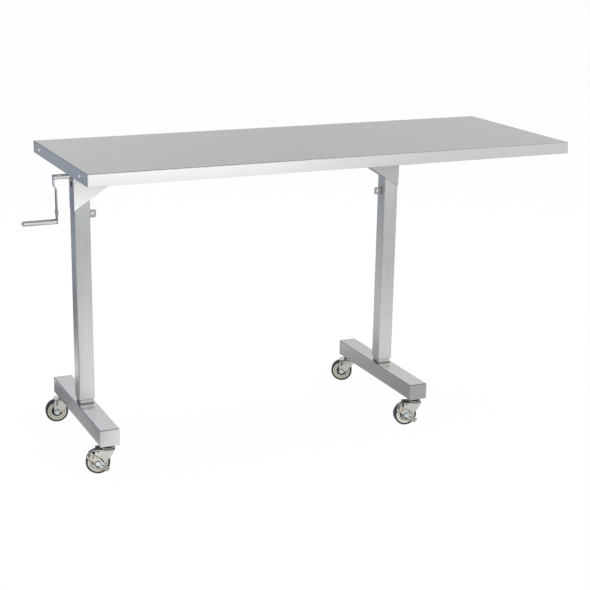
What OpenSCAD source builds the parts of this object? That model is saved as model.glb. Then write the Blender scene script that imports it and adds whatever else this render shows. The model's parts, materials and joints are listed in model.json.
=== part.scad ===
// Crank-height instrument table on two telescoping columns, with four swivel casters.
// Origin: on the floor, under the middle of the whole footprint, crank included.
// +X runs along the top, away from the crank, and +Y runs to the back.

/* [Top] */
// Length of the top
top_l = 1676.4; // [1400:0.1:1900]
// Depth of the top, front to back
top_w = 609.6; // [560:0.1:760]
// Height of the turned-down apron
apron_h = 38.1; // [36:0.1:60]
// Thickness of the top sheet
sheet_t = 1.6; // [1.2:0.1:2.5]
// Width of the hem turned in along the bottom of the apron
hem_w = 12.7; // [8:0.1:20]
// Outside radius of the bends
bend_r = 2.5; // [1.8:0.1:4]
// Distance of each end screw from the middle of the depth
end_screw_y = 228.6; // [200:0.1:250]

/* [Frame] */
// Depth of the channels under the sheet
channel_h = 30; // [20:0.5:32]
// Width of each long channel over its crown
channel_w = 44; // [30:1:60]
// Width of each cross bearer over its crown
bearer_w = 80; // [72:1:90]
// Sheet thickness of channels and bearers
channel_t = 1.5; // [1.2:0.1:2.5]
// Thickness of the head plates
head_t = 5; // [3:0.5:8]
// Width of the head plates, front to back
head_w = 100; // [90:1:140]

/* [Height] */
// Height of the top with the table at its lowest
table_h = 960; // [900:1:1080]
// Travel of the lift
lift_travel = 457.2; // [300:0.1:480]

/* [Columns] */
// Distance between the columns, centre to centre
col_spacing = 1092.2; // [900:0.1:1200]
// Left column centre from the left end of the top
left_inset = 63.5; // [62:0.1:90]
// Outside width of the square sleeves
sleeve_w = 50.8; // [46:0.1:56]
// Wall of the sleeves
sleeve_t = 1.9; // [1.5:0.1:2.2]
// Running gap between post and sleeve, each side
post_gap = 1.275; // [1:0.005:2]
// Wall of the inner posts
post_t = 1.9; // [1.5:0.1:2.5]
// Gap left between the foot and the sleeve at the lowest height
sleeve_gap = 17; // [8:0.5:30]
// Outside corner radius of the square tubes
tube_r = 3; // [2.5:0.1:4]

/* [Gussets] */
// Length of a gusset under the top
gusset_l = 200; // [150:1:240]
// Height of a gusset below the head plate
gusset_h = 132; // [100:1:170]
// Thickness of the gusset sheet
gusset_t = 3; // [2:0.1:4]
// Lip turned in along the sloping edge
gusset_lip = 12; // [8:0.5:14]

/* [Lugs] */
// Reach and height of a lug
lug_w = 25.4; // [20:0.1:32]
// Thickness of a lug
lug_t = 4; // [3:0.1:6]
// Diameter of the hole in a lug
lug_hole_d = 8.5; // [6:0.1:11]
// Distance of the lug hole below the top
lug_drop = 187; // [182:1:230]
// Distance of the lug hole from the column
lug_hole_out = 14.7; // [12:0.1:16]

/* [Feet] */
// Length of a foot, front to back
foot_l = 533.4; // [460:0.1:600]
// Width of a foot
foot_w = 63.5; // [58:0.1:76]
// Height of a foot
foot_h = 54; // [45:0.5:64]
// Wall of a foot
foot_t = 2; // [1.5:0.1:3]

/* [Casters] */
// Height of a caster under the foot
caster_h = 96; // [93:0.5:105]
// Diameter of the wheels
wheel_d = 76.2; // [70:0.1:80]
// Width of the tread
wheel_w = 25.4; // [20:0.1:27]
// Thickness of the tyre
tyre_t = 6; // [4:0.1:8]
// Distance from kingpin to axle
trail = 31; // [26:0.5:36]
// Kingpin distance from the end of the foot
kingpin_inset = 27; // [26:0.5:45]
// Diameter of the swivel race
race_d = 46; // [42:0.5:52]
// Sheet thickness of the forks
fork_t = 2.5; // [2:0.1:3]
// Width inside a fork
fork_gap = 33; // [30:0.1:36]
// Diameter of the axle bolts
axle_d = 9.5; // [7:0.1:10]
// Diameter of the kingpins
kingpin_d = 12; // [10:0.1:14]

/* [Crank] */
// Diameter of the crank shaft and cross shaft
shaft_d = 15.9; // [12:0.1:18]
// Distance of the shaft below the top
shaft_drop = 63.5; // [60:0.5:68]
// Reach of the crank arm beyond the left end of the top
shaft_out = 20.5; // [17:0.1:40]
// Crank radius, shaft to grip
crank_r = 140; // [110:1:170]
// Width of the crank arm
arm_w = 12.7; // [10:0.1:16]
// Thickness of the crank arm
arm_t = 4.8; // [3:0.1:6]
// Sideways step in the crank arm
joggle = 7; // [3:0.1:9]
// Diameter of the grip
grip_d = 16.5; // [15:0.1:24]
// Length of the grip
grip_l = 106; // [80:1:130]
// Diameter of the grip pin
grip_pin_d = 8; // [6:0.1:9]

/* [Drive] */
// Teeth on each mitre gear
gear_teeth = 20; // [18:2:20]
// Module of the mitre gears at their outer end
gear_module = 1.5; // [1.4:0.05:1.5]
// Face width of the mitre gears
gear_face = 6; // [4:0.5:7]
// Diameter of the lead screws
screw_d = 16; // [14:0.5:20]
// Diameter of the screw journals
journal_d = 12; // [9:0.5:13]
// Height of the bearing blocks
block_h = 18; // [12:1:24]
// Height of the thrust bearings
thrust_h = 9; // [7:0.5:12]
// Height of the lift nuts
nut_h = 27; // [20:1:40]

/* [Hidden] */
$fn = 64;

// Colours
satin = [0.74, 0.75, 0.76];
polished = [0.80, 0.80, 0.80];
nickel = [0.72, 0.70, 0.66];
zinc = [0.70, 0.78, 0.84];
bronze = [0.66, 0.50, 0.26];
steel = [0.45, 0.46, 0.48];
nylon = [0.90, 0.89, 0.85];
beige = [0.72, 0.69, 0.60];
slate = [0.20, 0.23, 0.28];

// Fits
fit = 0.03;        // bore over a shaft that is fixed in it
run = 0.06;        // bore over a shaft that turns in it, each side
gap = 0.3;         // open gap between faces that pass each other
eps = 0.01;        // cutters reach this far past a face

// Places along the length
grip_head_h = 1.5;
crank_reach = shaft_out - joggle + gap + grip_l + grip_head_h;
end_dome = 2.4;
left_end = -(top_l + end_dome - crank_reach) / 2;
right_end = left_end + top_l;
left_x = left_end + left_inset;
right_x = left_x + col_spacing;
mid_x = (left_end + right_end) / 2;

// Heights
foot_top = caster_h + foot_h;
sleeve_bottom = foot_top + sleeve_gap;
sheet_bottom = table_h - sheet_t;
channel_bottom = sheet_bottom - channel_h;
sleeve_top = channel_bottom - head_t;
shaft_z = table_h - shaft_drop;
lug_z = table_h - lug_drop;

// Mitre gears: distances run from the crossing of the two axes
gear_r = gear_module * gear_teeth / 2;
cone_l = gear_r * sqrt(2);
addendum = 0.8 * gear_module;
dedendum = 1.2 * gear_module;
groove_depth = 1.42 * gear_module;
groove_slope = 0.63;
toe_share = (cone_l - gear_face) / cone_l;
toe_s = (gear_r - addendum / sqrt(2)) * toe_share;
heel_root_s = gear_r + dedendum / sqrt(2);
drive_back_s = heel_root_s + 2;
hub_back_s = heel_root_s + 13;
hub_r = gear_r - 4;

// Head of the lead screw, downwards from the shaft
block_top = shaft_z - hub_back_s - 4;
block_bottom = block_top - block_h;
thrust_bottom = block_bottom - thrust_h;
collar_h = 5;
collar_r = 13;
collar_bottom = thrust_bottom - 0.1 - collar_h;
nut_flange_h = 5;
nut_top = collar_bottom - 6;
post_top = nut_top - nut_flange_h;
screw_bottom = post_top - nut_h - lift_travel - 20;

// Square tubes
sleeve_in = sleeve_w - 2 * sleeve_t;
post_w = sleeve_in - 2 * post_gap;
post_in = post_w - 2 * post_t;
glide_t = post_gap - 0.175;
glide_w = 30;
glide_h = 60;
liner_h = 60;

// Shaft fittings
bush_wall_r = shaft_d / 2 + 2.5;
bush_flange_r = bush_wall_r + 3.5;
bush_flange_t = 2;
bush_inner = 3;
coupling_x = left_x + sleeve_w / 2 + 45;
coupling_l = 50;
coupling_r = shaft_d / 2 + 4.5;
access_slot = [5, 13];

// Casters: axle height, fork plate heights and the four places
wheel_r = wheel_d / 2;
fork_half = fork_gap / 2;
leg_r = 10.6;
leg_lean = 2.5;
crown_gap = 3.3;
crown_z = wheel_d + crown_gap;
crown_t = fork_t;
race_h = 9.5;
race_top = crown_z + race_h;
kingpin_y = foot_l / 2 - kingpin_inset;
head_af = 14.3;
head_h = 7;
swivels = [-17, -11, -13, -28];
places = [[left_x, -kingpin_y], [left_x, kingpin_y], [right_x, -kingpin_y], [right_x, kingpin_y]];

// Brake levers: the pivot and the pedal, measured from the axle
lever_t = 2;
lever_y = fork_half + fork_t + gap;
pivot = [-21, 19];
pivot_r = 2.5;
shoe_gap = 0.35;
shoe_t = 2;
shoe_from = 100;
shoe_to = 138;
web_from = 118;
lever_swing = 6;

// Rounded rectangle, centred
module rounded_rect(w, d, r) {
    square([w - 2 * r, d], center = true);
    square([w, d - 2 * r], center = true);
    for (sx = [-1, 1], sy = [-1, 1])
        translate([sx * (w / 2 - r), sy * (d / 2 - r)]) circle(r);
}

// Outline of a block seen from its side, with the two upper corners rounded
module rounded_top(w, h, r) {
    translate([-w / 2, 0]) square([w, h - r]);
    translate([-w / 2 + r, 0]) square([w - 2 * r, h]);
    for (sx = [-1, 1]) translate([sx * (w / 2 - r), h - r]) circle(r);
}

// Block with rounded upper edges and corners, standing on z = 0
module bent_block(l, w, h, r) {
    intersection() {
        linear_extrude(h) rounded_rect(l, w, r);
        rotate([90, 0, 0]) linear_extrude(w, center = true) rounded_top(l, h, r);
        rotate([90, 0, 90]) linear_extrude(l, center = true) rounded_top(w, h, r);
    }
}

// Square tube standing on z = 0
module square_tube(w, t, h) {
    linear_extrude(h) difference() {
        rounded_rect(w, w, tube_r);
        rounded_rect(w - 2 * t, w - 2 * t, max(tube_r - t, 0.6));
    }
}

// Cylinder along X from x0 to x1
module bar_x(x0, x1, r) {
    translate([x0, 0, 0]) rotate([0, 90, 0]) cylinder(h = x1 - x0, r = r);
}

// Hat section, crown down, with flanges against the sheet, running along Y
module hat(w, l) {
    flange = 14;
    rotate([90, 0, 0]) linear_extrude(l, center = true) difference() {
        union() {
            translate([-w / 2, -channel_h]) square([w, channel_h]);
            translate([-w / 2 - flange, -channel_t]) square([w + 2 * flange, channel_t]);
        }
        translate([-w / 2 + channel_t, -channel_h + channel_t])
            square([w - 2 * channel_t, channel_h]);
    }
}

module top_sheet() color(satin) difference() {
    union() {
        translate([mid_x, 0, table_h - apron_h]) difference() {
            bent_block(top_l, top_w, apron_h, bend_r);
            translate([0, 0, -eps])
                bent_block(top_l - 2 * sheet_t, top_w - 2 * sheet_t, apron_h - sheet_t + eps,
                           max(bend_r - sheet_t, 0.5));
        }
        translate([mid_x, 0, table_h - apron_h]) linear_extrude(sheet_t) difference() {
            square([top_l - sheet_t, top_w - sheet_t], center = true);
            square([top_l - 2 * (sheet_t + hem_w), top_w - 2 * (sheet_t + hem_w)], center = true);
        }
    }
    end_screw_bores();
}

// Holes for the end screws, through apron and channel end
end_screw_d = 5;
end_screw_z = table_h - apron_h / 2;
module end_screw_bores() {
    for (s = [-1, 1], e = [left_end, right_end])
        translate([e, s * end_screw_y, end_screw_z])
            bar_x(-12, 12, end_screw_d / 2 + fit);
}

// The channels stop short of the bend inside the apron; their end plates reach the apron below it
bend_clear = max(bend_r - sheet_t, 0.5) + 0.1;
module long_channels() color(steel) {
    end_l = bend_clear + channel_t;
    end_h = channel_h - bend_clear;
    for (s = [-1, 1]) difference() {
        translate([mid_x, s * end_screw_y, sheet_bottom]) {
            rotate([0, 0, 90]) hat(channel_w, top_l - 2 * (sheet_t + bend_clear));
            for (e = [-1, 1])
                translate([e * (top_l / 2 - sheet_t - end_l / 2), 0, -channel_h + end_h / 2])
                    cube([end_l, channel_w, end_h], center = true);
        }
        end_screw_bores();
    }
}

// The bearers end at the flanges of the long channels
bearer_l = 2 * end_screw_y - channel_w - 28 - 1;
module cross_bearers() color(steel) {
    for (x = [left_x, right_x]) difference() {
        translate([x, 0, sheet_bottom]) hat(bearer_w, bearer_l);
        head_bolt_bores(x);
    }
}

// Head plates run from beyond the column to the tip of the gusset
head_over = 20;
head_bolt_d = 8;
head_bolt_x = bearer_w / 2 - 12;
head_bolt_y = head_w / 2 - 8;
module head_bolt_bores(x) {
    for (sx = [-1, 1], sy = [-1, 1])
        translate([x + sx * head_bolt_x, sy * head_bolt_y, sleeve_top - eps])
            cylinder(h = head_t + 2 * channel_t + 2 * eps, r = head_bolt_d / 2 + fit);
}

module head_plate(x, side) {
    l = max(gusset_l, sleeve_w / 2 + bearer_w / 2) + head_over;
    difference() {
        translate([x + side * (l / 2 - sleeve_w / 2 - head_over), 0, sleeve_top])
            linear_extrude(head_t) rounded_rect(l, head_w, 4);
        head_bolt_bores(x);
    }
}

module head_plates() color(satin) {
    head_plate(left_x, 1);
    head_plate(right_x, -1);
}

module hex_prism(af, h) {
    rotate([0, 0, 30]) cylinder(h = h, r = af / sqrt(3), $fn = 6);
}

module head_bolts() color(zinc) {
    for (x = [left_x, right_x], sx = [-1, 1], sy = [-1, 1])
        translate([x + sx * head_bolt_x, sy * head_bolt_y, sleeve_top]) {
            translate([0, 0, -5]) hex_prism(13, 5);
            translate([0, 0, -eps]) cylinder(h = head_t + channel_t + 5, r = head_bolt_d / 2);
            translate([0, 0, head_t + channel_t]) hex_prism(13, 5);
        }
}

module end_screws() color(polished) {
    head_r = 5.2;
    dome = end_dome;
    for (s = [-1, 1], e = [0, 1])
        translate([e == 0 ? left_end : right_end, s * end_screw_y, end_screw_z])
            mirror([e, 0, 0]) {
                bar_x(-eps, 9, end_screw_d / 2);
                rotate([0, -90, 0]) rotate_extrude() intersection() {
                    translate([0, -(head_r * head_r - dome * dome) / (2 * dome)])
                        circle((head_r * head_r + dome * dome) / (2 * dome));
                    square([head_r, dome]);
                }
            }
}

// Sleeve with its shaft holes and the slot behind the lug; side points to the other column
module sleeve(x, side, slotted) {
    difference() {
        translate([x, 0, sleeve_bottom]) square_tube(sleeve_w, sleeve_t, sleeve_top - sleeve_bottom);
        translate([x, 0, shaft_z])
            bar_x(-sleeve_w / 2 - eps, sleeve_w / 2 + eps, bush_wall_r + fit);
        translate([x + side * (sleeve_w / 2 - sleeve_t / 2), 0, lug_z])
            cube([sleeve_t + 1, lug_t + 2, lug_w + 3], center = true);
        if (slotted) translate([x - side * sleeve_w / 2, 0, shaft_z - hub_back_s + 5])
            rotate([0, 90, 0]) linear_extrude(2 * sleeve_t + 2, center = true) {
                square([access_slot[1] - access_slot[0], access_slot[0]], center = true);
                for (s = [-1, 1]) translate([s * (access_slot[1] - access_slot[0]) / 2, 0])
                    circle(access_slot[0] / 2);
            }
    }
}

module left_sleeve() color(satin) sleeve(left_x, 1, true);
module right_sleeve() color(satin) sleeve(right_x, -1, false);

// Folded gusset: a plate on the front and the back of the sleeve, each with an inward lip
module gusset(x, side) {
    blunt = 5;
    slope = atan2(gusset_h - blunt, gusset_l);
    translate([x, 0, sleeve_top]) mirror([side < 0 ? 1 : 0, 0, 0])
        for (s = [-1, 1]) translate([0, s * (sleeve_w / 2 + gusset_t / 2), 0]) {
            rotate([90, 0, 0]) linear_extrude(gusset_t, center = true)
                polygon([[-sleeve_w / 2, 0], [gusset_l - sleeve_w / 2, 0],
                         [gusset_l - sleeve_w / 2, -blunt], [-sleeve_w / 2, -gusset_h]]);
            lip_from = (sleeve_w + 2 * gap) / cos(slope);
            lip_l = gusset_l / cos(slope) - lip_from;
            translate([-sleeve_w / 2, 0, -gusset_h]) rotate([0, -slope, 0])
                translate([lip_from, s > 0 ? gusset_t / 2 - gusset_lip : -gusset_t / 2, 0])
                    cube([lip_l, gusset_lip, gusset_t]);
        }
}

module left_gusset() color(satin) gusset(left_x, 1);
module right_gusset() color(satin) gusset(right_x, -1);

// Pierced lug, with a tenon in the sleeve's slot
module lug(x, side) {
    corner = 5;
    translate([x + side * sleeve_w / 2, 0, lug_z]) mirror([side < 0 ? 1 : 0, 0, 0])
        rotate([90, 0, 0]) linear_extrude(lug_t, center = true) difference() {
            union() {
                translate([-sleeve_t, -lug_w / 2 + 2]) square([sleeve_t + 1, lug_w - 4]);
                translate([0, -lug_w / 2]) square([lug_w - corner, lug_w]);
                translate([0, -lug_w / 2 + corner]) square([lug_w, lug_w - 2 * corner]);
                for (s = [-1, 1]) translate([lug_w - corner, s * (lug_w / 2 - corner)])
                    circle(corner);
            }
            translate([lug_hole_out, 0]) circle(lug_hole_d / 2);
        }
}

module column_lugs() color(satin) {
    lug(left_x, 1);
    lug(right_x, -1);
}

module bearing_blocks() color(steel) for (x = [left_x, right_x])
    translate([x, 0, block_bottom]) difference() {
        linear_extrude(block_h) rounded_rect(sleeve_in - 0.04, sleeve_in - 0.04, 1.2);
        translate([0, 0, -eps]) cylinder(h = block_h + 2 * eps, r = journal_d / 2 + run);
    }

module thrust_bearings() color(polished) for (x = [left_x, right_x])
    translate([x, 0, thrust_bottom]) rotate_extrude() difference() {
        translate([journal_d / 2 + run, 0]) square([collar_r - journal_d / 2 - run, thrust_h]);
        translate([collar_r + 1, thrust_h / 2]) circle(thrust_h / 3);
    }

// Flanged bushes in the four sleeve walls that the shafts pass
module shaft_bushes() color(bronze) for (x = [left_x, right_x], s = [0, 1])
    translate([x, 0, shaft_z]) mirror([s, 0, 0]) difference() {
        union() {
            bar_x(sleeve_w / 2 - sleeve_t - bush_inner, sleeve_w / 2 + eps, bush_wall_r);
            bar_x(sleeve_w / 2, sleeve_w / 2 + bush_flange_t, bush_flange_r);
        }
        bar_x(sleeve_w / 2 - sleeve_t - bush_inner - eps, sleeve_w / 2 + bush_flange_t + eps,
              shaft_d / 2 + run);
    }

module sleeve_liners() color(nylon) for (x = [left_x, right_x])
    translate([x, 0, sleeve_bottom]) linear_extrude(liner_h) difference() {
        rounded_rect(sleeve_in - 0.04, sleeve_in - 0.04, 1.2);
        rounded_rect(post_w + 0.3, post_w + 0.3, tube_r);
    }

// Crank shaft: its turned-down end passes through the eye of the arm
tenon_r = shaft_d / 2 - 3;
module crank_shaft() color(polished) translate([0, 0, shaft_z]) {
    bar_x(left_end - shaft_out + arm_t, coupling_x - 0.5, shaft_d / 2);
    bar_x(left_end - shaft_out - 0.6, left_end - shaft_out + arm_t + eps, tenon_r);
}

module cross_shaft() color(steel) translate([0, 0, shaft_z])
    bar_x(coupling_x + 0.5, right_x + sleeve_w / 2 + bush_flange_t, shaft_d / 2);

module shaft_coupling() color(steel) translate([coupling_x, 0, shaft_z]) difference() {
    bar_x(-coupling_l / 2, coupling_l / 2, coupling_r);
    bar_x(-coupling_l / 2 - eps, coupling_l / 2 + eps, shaft_d / 2 + fit);
    for (s = [-1, 1]) translate([s * coupling_l / 4, 0, 0])
        cylinder(h = coupling_r + 1, r = 2.5);
}

// Straight-toothed mitre gear, apex at the origin, axis along +Z
module mitre_gear(bore_r, back_s, phase) {
    toe_r = (gear_r + addendum / sqrt(2)) * toe_share;
    root_angle = 45 - atan(groove_depth / cone_l);
    reach = 4 * gear_module;
    rotate([0, 0, phase]) difference() {
        rotate_extrude() polygon([
            [bore_r, toe_s], [toe_r, toe_s],
            [gear_r + addendum / sqrt(2), gear_r - addendum / sqrt(2)],
            [gear_r - dedendum / sqrt(2), heel_root_s], [hub_r, heel_root_s],
            [hub_r, back_s], [bore_r, back_s]]);
        for (i = [0 : gear_teeth - 1])
            rotate([0, root_angle, i * 360 / gear_teeth]) linear_extrude(2 * cone_l)
                polygon([[0, 0], [reach, reach * groove_slope], [reach, -reach * groove_slope]]);
    }
}

// The drive gear sits on the far side of each column's axis, the screw gear below it
module drive_gear(x) color(steel) translate([x, 0, shaft_z]) rotate([0, 90, 0])
    mitre_gear(shaft_d / 2 + fit, drive_back_s, 180 / gear_teeth);

module screw_gear(x) color(bronze) translate([x, 0, shaft_z]) rotate([180, 0, 0])
    mitre_gear(journal_d / 2 + fit, hub_back_s, 0);

module left_drive_gear() drive_gear(left_x);
module right_drive_gear() drive_gear(right_x);
module left_screw_gear() screw_gear(left_x);
module right_screw_gear() screw_gear(right_x);

module lead_screw(x) color(steel) translate([x, 0, 0]) rotate_extrude() polygon([
    [0, screw_bottom], [screw_d / 2 - 1, screw_bottom], [screw_d / 2, screw_bottom + 1],
    [screw_d / 2, collar_bottom], [collar_r, collar_bottom], [collar_r, collar_bottom + collar_h],
    [journal_d / 2, collar_bottom + collar_h], [journal_d / 2, shaft_z - toe_s - 0.5],
    [0, shaft_z - toe_s - 0.5]]);

module left_lead_screw() lead_screw(left_x);
module right_lead_screw() lead_screw(right_x);

// Crank arm: a flat bar with a sideways step and an eye at each end
arm_x = left_end - shaft_out;
grip_z = shaft_z - crank_r;
eye_r = max(grip_d, shaft_d) / 2 + 0.3;
step_from = 26;
step_to = 38;
module crank_arm() color(polished) difference() {
    union() {
        translate([arm_x, 0, shaft_z]) rotate([90, 0, 0])
            linear_extrude(arm_w, center = true) polygon([
                [0, 0], [arm_t, 0], [arm_t, -step_from], [arm_t + joggle, -step_to],
                [arm_t + joggle, -crank_r], [joggle, -crank_r], [joggle, -step_to],
                [0, -step_from]]);
        translate([arm_x, 0, shaft_z]) bar_x(0, arm_t, eye_r);
        translate([arm_x + joggle, 0, grip_z]) bar_x(0, arm_t, eye_r);
    }
    translate([arm_x, 0, shaft_z]) bar_x(-eps, arm_t + eps, tenon_r + fit);
    translate([arm_x + joggle, 0, grip_z]) bar_x(-eps, arm_t + eps, grip_pin_d / 2 + fit);
}

// Grooved collar clamped round the arm above the grip
collar_above = 29;
module arm_collar() color(polished) translate([arm_x + joggle + arm_t / 2, 0, grip_z + collar_above])
    difference() {
        for (s = [-1, 0, 1]) translate([0, 0, s * 4.2])
            linear_extrude(4.2, center = true)
                rounded_rect(arm_t + (s == 0 ? 2 : 3.4), arm_w + (s == 0 ? 2 : 3.4), 0.8);
        cube([arm_t + 0.02, arm_w + 0.02, 20], center = true);
    }

// Pin riveted in the arm; its domed head holds the grip on
grip_x1 = arm_x + joggle - gap;
grip_x0 = grip_x1 - grip_l;
grip_round = 4;
module grip_pin() color(polished) translate([0, 0, grip_z]) {
    bar_x(grip_x0 - eps, arm_x + joggle + arm_t, grip_pin_d / 2);
    translate([grip_x0 - gap, 0, 0]) rotate([0, -90, 0])
        cylinder(h = grip_head_h - gap, r1 = grip_pin_d / 2 + 1.6, r2 = grip_pin_d / 2 - 0.4);
    bar_x(grip_x0 - gap - eps, grip_x0, grip_pin_d / 2);
}

module crank_grip() color(polished) translate([grip_x1, 0, grip_z]) rotate([0, -90, 0])
    rotate_extrude() difference() {
        union() {
            square([grip_d / 2, grip_l - grip_round]);
            square([grip_d / 2 - grip_round, grip_l]);
            translate([grip_d / 2 - grip_round, grip_l - grip_round]) circle(grip_round);
        }
        translate([-grip_d, -1]) square([grip_d + grip_pin_d / 2 + run, grip_l + 2]);
    }

// Foot: box section along Y, drilled below for the two stems
cap_t = 2;
module foot(x) color(satin) translate([x, 0, caster_h + foot_h / 2]) difference() {
    rotate([90, 0, 0]) linear_extrude(foot_l - 2 * cap_t, center = true) difference() {
        rounded_rect(foot_w, foot_h, tube_r);
        rounded_rect(foot_w - 2 * foot_t, foot_h - 2 * foot_t, max(tube_r - foot_t, 0.6));
    }
    for (s = [-1, 1]) translate([0, s * kingpin_y, -foot_h / 2 - eps])
        cylinder(h = foot_t + 2 * eps, r = kingpin_d / 2 + fit);
}

module foot_caps(x) color(satin) for (s = [-1, 1])
    translate([x, s * (foot_l - cap_t) / 2, caster_h + foot_h / 2]) rotate([90, 0, 0])
        linear_extrude(cap_t, center = true) rounded_rect(foot_w, foot_h, tube_r);

module post(x) color(polished) translate([x, 0, foot_top])
    square_tube(post_w, post_t, post_top - foot_top);

module lift_nut(x) color(bronze) translate([x, 0, post_top]) difference() {
    union() {
        linear_extrude(nut_flange_h) rounded_rect(post_w, post_w, 2);
        translate([0, 0, -nut_h]) cylinder(h = nut_h + eps, r = post_in / 2 - 4);
    }
    translate([0, 0, -nut_h - eps])
        cylinder(h = nut_h + nut_flange_h + 2 * eps, r = screw_d / 2 + run);
}

module post_glides(x) color(nylon) for (a = [0 : 90 : 270])
    translate([x, 0, post_top - glide_h - 5]) rotate([0, 0, a])
        translate([post_w / 2, -glide_w / 2, 0]) cube([glide_t, glide_w, glide_h]);

// Stem, upper race and the nut inside the foot, for the two casters of a foot
module stems(x) color(nickel) for (s = [-1, 1]) translate([x, s * kingpin_y, 0]) {
    stem_bottom = crown_z - 5;
    rotate_extrude() polygon([
        [0, stem_bottom], [kingpin_d / 2 + 3, stem_bottom], [kingpin_d / 2 + 3, crown_z - gap],
        [kingpin_d / 2, crown_z - gap], [kingpin_d / 2, race_top + gap],
        [race_d / 2 - 5, race_top + gap], [race_d / 2 - 2, race_top + gap + 2.2],
        [race_d / 2 - 2, caster_h], [kingpin_d / 2, caster_h],
        [kingpin_d / 2, caster_h + foot_t + 12], [0, caster_h + foot_t + 12]]);
    translate([0, 0, caster_h + foot_t]) difference() {
        hex_prism(19, 8);
        translate([0, 0, -eps]) cylinder(h = 9, r = kingpin_d / 2 + fit);
    }
}

module left_foot() foot(left_x);
module right_foot() foot(right_x);
module left_foot_caps() foot_caps(left_x);
module right_foot_caps() foot_caps(right_x);
module left_post() post(left_x);
module right_post() post(right_x);
module left_lift_nut() lift_nut(left_x);
module right_lift_nut() lift_nut(right_x);
module left_post_glides() post_glides(left_x);
module right_post_glides() post_glides(right_x);
module left_stems() stems(left_x);
module right_stems() stems(right_x);

// A caster's own frame: kingpin at the origin, wheel trailing along -X
module at_caster(i) {
    translate([places[i][0], places[i][1], 0]) rotate([0, 0, swivels[i]]) children();
}

// Inside a caster: the axle's frame, X along the roll, Z along the axle, away from the outer side
module at_axle(i) {
    at_caster(i) translate([-trail, 0, wheel_r]) rotate([90, 0, 0]) children();
}

// Points from a to b, bowed out by the given height at the middle
function bowed(a, b, bow) = let (n = 8, v = b - a, side = [v[1], -v[0]] / norm(v))
    [for (i = [0 : n]) a + v * i / n + side * bow * 4 * (i / n) * (1 - i / n)];

// Leg of a fork, from the crown's edge down to a round end at the axle. The braked one is
// broader: it has an ear for the lever's pivot, and a toe beyond the slit for the lever's arm
toe = [23.5, 2.5];
slit_from = [10, 15.5];
slit_w = 2.8;
module leg_outline(ear) {
    tip = [trail + race_d / 2 - 1, crown_z - wheel_r + crown_t];
    low = (leg_r - 0.4) * [cos(-28), sin(-28)];
    back = [[leg_lean - leg_r, tip[1]], [0.4 - leg_r, 0]];
    difference() {
        union() {
            circle(leg_r);
            polygon(concat([[0, 0]], bowed(ear ? toe : low, tip, 3), back));
            if (ear) {
                polygon([[0, 0], low, [toe[0] - 6, toe[1] - 2], toe, [10, 20]]);
                translate(pivot) circle(7);
                polygon([[-leg_r + 2, pivot[1] + 11], [pivot[0], pivot[1] + 7],
                         [pivot[0] - 2, pivot[1] - 6.5], [-leg_r + 1, pivot[1] - 14], [0, pivot[1]]]);
            }
        }
        if (ear) translate(slit_from) rotate(-atan2(slit_from[1] - toe[1] + 4, toe[0] - slit_from[0] - 2))
            translate([0, -slit_w / 2]) {
                square([40, slit_w]);
                translate([0, slit_w / 2]) circle(slit_w / 2);
            }
    }
}

// Holes in the legs: place and radius, seen from the side
rear_holes = [[1, 35, 3.2], [0.7, 26.8, 3.2]];
front_holes = [[0.4, 38.5, 2.7]];
module fork(i, ear) color(nickel) difference() {
    union() {
        for (s = [-1, 1]) at_axle(i) translate([0, 0, s > 0 ? fork_half : -fork_half - fork_t])
            linear_extrude(fork_t) leg_outline(ear && s > 0);
        at_caster(i) translate([0, 0, crown_z]) {
            translate([leg_lean - leg_r - trail, -fork_half - fork_t, 0])
                cube([trail + leg_r - leg_lean + race_d / 2 - 1, 2 * (fork_half + fork_t), crown_t]);
            rotate_extrude() polygon([
                [0, 0.4], [race_d / 2, 0.4], [race_d / 2, crown_t + 1.5], [race_d / 2 - 1, race_h - 2],
                [race_d / 2 - 4, race_h], [0, race_h]]);
        }
    }
    at_caster(i) translate([0, 0, crown_z - 10]) cylinder(h = 30, r = kingpin_d / 2 + run);
    at_axle(i) cylinder(h = 60, r = axle_d / 2 + run, center = true);
    at_axle(i) for (h = ear ? front_holes : rear_holes)
        translate([h[0], h[1], 0]) cylinder(h = 60, r = h[2], center = true);
    if (ear) at_axle(i) translate([pivot[0], pivot[1], 0]) cylinder(h = 60, r = pivot_r + run);
}

module axle(i) color(zinc) at_axle(i) {
    outer = fork_half + fork_t;
    translate([0, 0, -outer - 6]) cylinder(h = 2 * outer + 6 + eps, r = axle_d / 2);
    translate([0, 0, outer]) hex_prism(head_af, head_h);
    translate([0, 0, -outer - head_h]) difference() {
        hex_prism(head_af, head_h);
        translate([0, 0, -1]) cylinder(h = head_h + 2, r = axle_d / 2 + fit);
    }
}

// Wheel core: hub, dished web with two rings, and the rim under the tyre
module wheel(i) color(beige) at_axle(i) rotate_extrude() {
    core_r = wheel_r - tyre_t;
    hub_half = fork_half - gap;
    rim_half = wheel_w / 2 - 1;
    web_half = rim_half - 2;
    polygon([
        [axle_d / 2 + run, -hub_half], [10, -hub_half], [10.5, -web_half + 1.5],
        [14.5, -web_half + 1.5], [15, -web_half - 1], [17, -web_half - 1], [18, -web_half],
        [core_r - 6, -web_half], [core_r - 5, -rim_half], [core_r, -rim_half],
        [core_r, rim_half], [core_r - 5, rim_half], [core_r - 6, web_half],
        [18, web_half], [17, web_half + 1], [15, web_half + 1], [14.5, web_half - 1.5],
        [10.5, web_half - 1.5], [10, hub_half], [axle_d / 2 + run, hub_half]]);
}

module tyre(i) color(slate) at_axle(i) rotate_extrude() {
    shoulder = 2.5;
    inner = wheel_r - tyre_t + fit;
    translate([inner, -wheel_w / 2]) square([tyre_t - fit - shoulder, wheel_w]);
    translate([inner, -wheel_w / 2 + shoulder]) square([tyre_t - fit, wheel_w - 2 * shoulder]);
    for (s = [-1, 1]) translate([wheel_r - shoulder, s * (wheel_w / 2 - shoulder)])
        circle(shoulder);
}

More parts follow.
